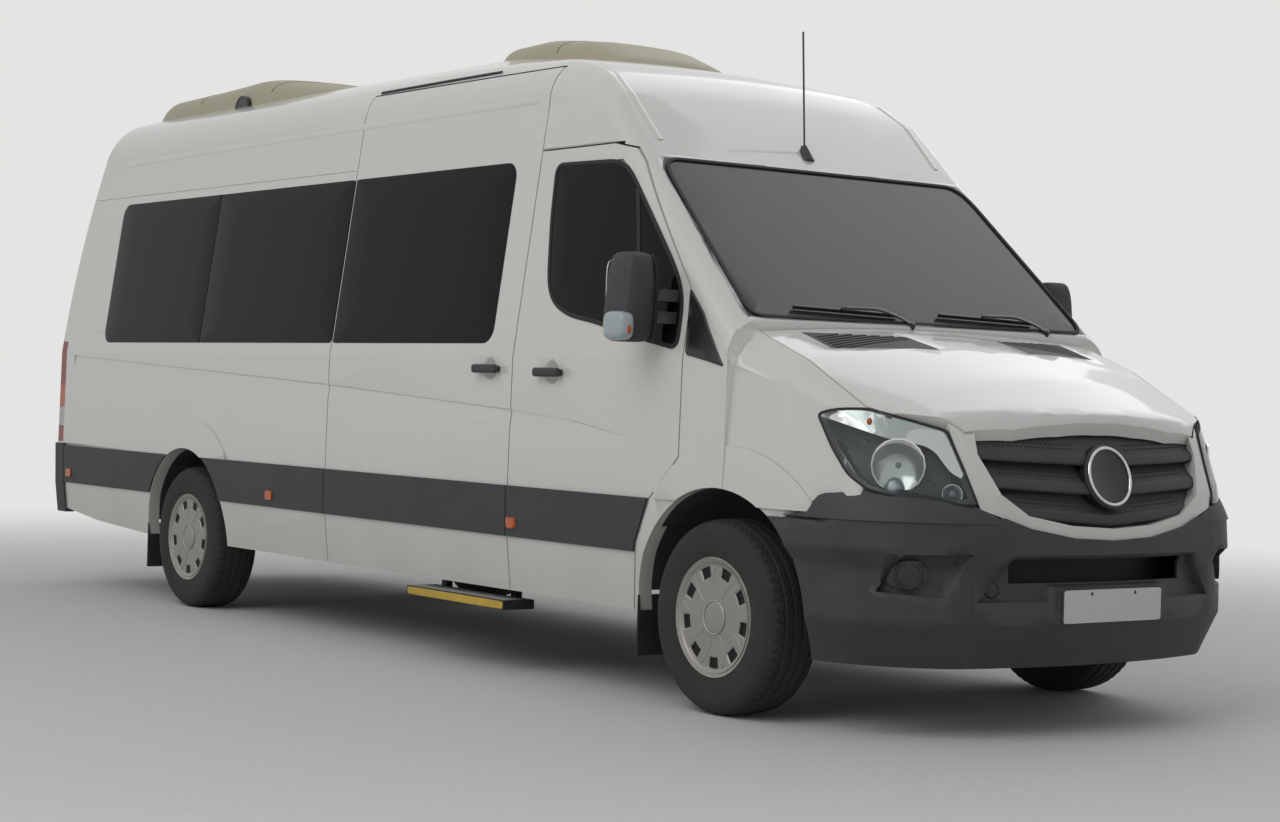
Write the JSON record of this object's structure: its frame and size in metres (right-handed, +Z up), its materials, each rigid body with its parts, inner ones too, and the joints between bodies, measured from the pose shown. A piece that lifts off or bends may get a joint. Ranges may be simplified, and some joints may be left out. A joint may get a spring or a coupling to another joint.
{
  "type": "minibus",
  "caption": "Long high-roof passenger minibus with dark side glass, a sliding side door, hinged front and rear doors, an opening bonnet, roof cooling units and steered front wheels.",
  "frame": {"origin": "middle of the vehicle's footprint, on the ground", "axes": "+X forward, +Y to the vehicle's left, +Z up"},
  "size_m": [7.0198, 2.424, 2.7899],
  "materials": {
    "white_paint": "gloss",
    "charcoal_plastic": "satin",
    "dark_glass": "gloss",
    "screen_glass": "gloss",
    "lamp_lens": "clear",
    "red_lens": "clear",
    "tyre_rubber": "matt",
    "wheel_silver": "silver lacquer",
    "chassis_steel": "matt black",
    "cast_grey": "raw",
    "cream_plastic": "satin",
    "seat_fabric": "woven",
    "floor_grey": "matt",
    "dash_grey": "grained",
    "orange_lens": "clear",
    "flap_rubber": "matt"
  },
  "bodies": {
    "body": {"roof": "white_paint", "windscreen_frame": "white_paint", "windscreen": "screen_glass", "side_walls": "white_paint", "side_glass": "dark_glass", "tail_lamps": "red_lens", "sliding_door": "white_paint", "sliding_door_glass": "dark_glass", "front_wings": "white_paint", "grille_surround": "white_paint", "grille": "charcoal_plastic", "headlamps": "lamp_lens", "front_bumper": "charcoal_plastic", "front_suspension": "chassis_steel", "rear_axle": "cast_grey", "floor_pan": "floor_grey", "wheel_housings": "charcoal_plastic", "chassis_rails": "chassis_steel", "body_frame": "white_paint", "engine": "cast_grey", "driveline": "cast_grey", "fuel_tank": "charcoal_plastic", "exhaust": "chassis_steel", "dashboard": "dash_grey", "seats": "seat_fabric", "side_trim": "charcoal_plastic", "rear_bumper": "charcoal_plastic", "roof_ac_units": "cream_plastic", "antenna": "charcoal_plastic", "side_step": "chassis_steel", "mud_flaps": "flap_rubber", "wipers": "charcoal_plastic", "side_markers": "orange_lens"},
    "bonnet": {"bonnet": "white_paint", "bonnet_vents": "charcoal_plastic"},
    "front_door_left": {"front_door_left": "white_paint", "front_door_glass_left": "dark_glass", "front_door_trim_left": "charcoal_plastic"},
    "rear_door_left": {"rear_door_left": "white_paint", "rear_door_glass_left": "dark_glass"},
    "knuckle_left": {"knuckle_left": "cast_grey"},
    "wheel_front_left": {"wheel_front_left": "wheel_silver", "tyre_front_left": "tyre_rubber"},
    "wheel_rear_left": {"wheel_rear_left": "wheel_silver", "tyre_rear_left": "tyre_rubber"},
    "front_door_right": {"front_door_right": "white_paint", "front_door_glass_right": "dark_glass", "front_door_trim_right": "charcoal_plastic"},
    "rear_door_right": {"rear_door_right": "white_paint", "rear_door_glass_right": "dark_glass"},
    "knuckle_right": {"knuckle_right": "cast_grey"},
    "wheel_front_right": {"wheel_front_right": "wheel_silver", "tyre_front_right": "tyre_rubber"},
    "wheel_rear_right": {"wheel_rear_right": "wheel_silver", "tyre_rear_right": "tyre_rubber"}
  },
  "joints": [
    {"name": "bonnet_hinge", "type": "hinge", "parent": "body", "child": "bonnet", "pos_m": [2.535, 0, 1.44], "axis": [0, -1, 0], "range_deg": [0, 45]},
    {"name": "front_door_left_hinge", "type": "hinge", "parent": "body", "child": "front_door_left", "pos_m": [2.261, 1, 0.9], "axis": [0, 0, -1], "range_deg": [0, 70]},
    {"name": "rear_door_left_hinge", "type": "hinge", "parent": "body", "child": "rear_door_left", "pos_m": [-3.5005, 0.803, 1.2], "axis": [0, 0, -1], "range_deg": [0, 180]},
    {"name": "steering_left", "type": "hinge", "parent": "body", "child": "knuckle_left", "pos_m": [2.46, 0.778, 0.238], "axis": [0, -0.2231, 0.9748], "range_deg": [-35, 35]},
    {"name": "wheel_front_left_spin", "type": "hinge", "parent": "knuckle_left", "child": "wheel_front_left", "pos_m": [2.46, 0.855, 0.356], "axis": [0, 1, 0], "continuous": true},
    {"name": "wheel_rear_left_spin", "type": "hinge", "parent": "body", "child": "wheel_rear_left", "pos_m": [-1.865, 0.855, 0.356], "axis": [0, 1, 0], "continuous": true},
    {"name": "front_door_right_hinge", "type": "hinge", "parent": "body", "child": "front_door_right", "pos_m": [2.261, -1, 0.9], "axis": [0, 0, 1], "range_deg": [0, 70]},
    {"name": "rear_door_right_hinge", "type": "hinge", "parent": "body", "child": "rear_door_right", "pos_m": [-3.5005, -0.803, 1.2], "axis": [0, 0, 1], "range_deg": [0, 180]},
    {"name": "steering_right", "type": "hinge", "parent": "body", "child": "knuckle_right", "pos_m": [2.46, -0.778, 0.238], "axis": [0, 0.2231, 0.9748], "range_deg": [-35, 35]},
    {"name": "wheel_front_right_spin", "type": "hinge", "parent": "knuckle_right", "child": "wheel_front_right", "pos_m": [2.46, -0.855, 0.356], "axis": [0, 1, 0], "continuous": true},
    {"name": "wheel_rear_right_spin", "type": "hinge", "parent": "body", "child": "wheel_rear_right", "pos_m": [-1.865, -0.855, 0.356], "axis": [0, 1, 0], "continuous": true}
  ],
  "couplings": [
    {"joint": "steering_right", "follows": "steering_left", "ratio": 1}
  ]
}
